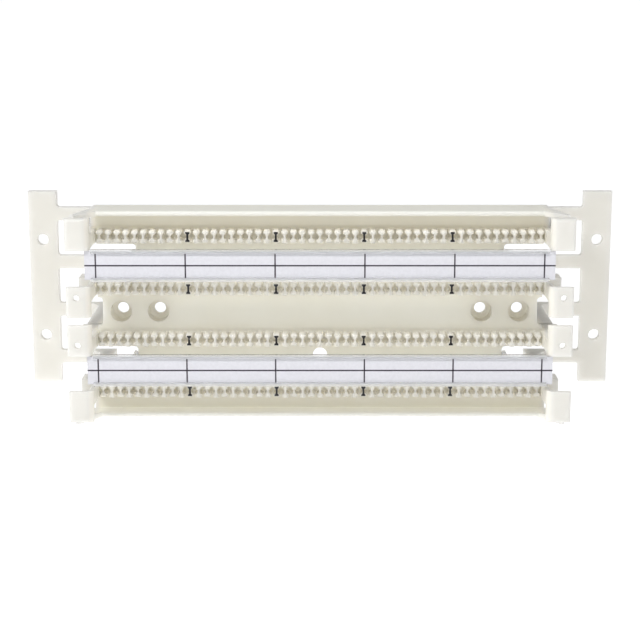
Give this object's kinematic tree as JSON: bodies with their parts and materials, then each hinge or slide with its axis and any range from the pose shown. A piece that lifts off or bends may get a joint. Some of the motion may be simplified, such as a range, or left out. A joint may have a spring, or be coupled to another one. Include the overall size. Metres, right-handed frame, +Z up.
{
  "type": "punch down wiring block",
  "caption": "Wall-mounted punch down wiring block with toothed rows for wire pairs, cable hooks, stand-off legs and clear label strips.",
  "frame": {"origin": "centre of the wall plane that the legs stand on, midway between the four wall screw holes", "axes": "+X to the right along the rows as seen from the front, +Y into the wall, +Z up"},
  "size_m": [0.273, 0.0826, 0.0914],
  "materials": {
    "ivory_plastic": "satin moulded",
    "clear_plastic": "clear extruded",
    "label_paper": "ruled card"
  },
  "bodies": {
    "block": {"wiring_base": "ivory_plastic", "left_leg": "ivory_plastic", "right_leg": "ivory_plastic"},
    "upper_strip": {"upper_strip_holder": "clear_plastic", "upper_label": "label_paper"},
    "lower_strip": {"lower_strip_holder": "clear_plastic", "lower_label": "label_paper"}
  },
  "joints": [
    {"name": "upper_strip_pull", "type": "slide", "parent": "block", "child": "upper_strip", "axis": [0, -1, 0], "range_m": [0, 0.04]},
    {"name": "lower_strip_pull", "type": "slide", "parent": "block", "child": "lower_strip", "axis": [0, -1, 0], "range_m": [0, 0.04]}
  ]
}
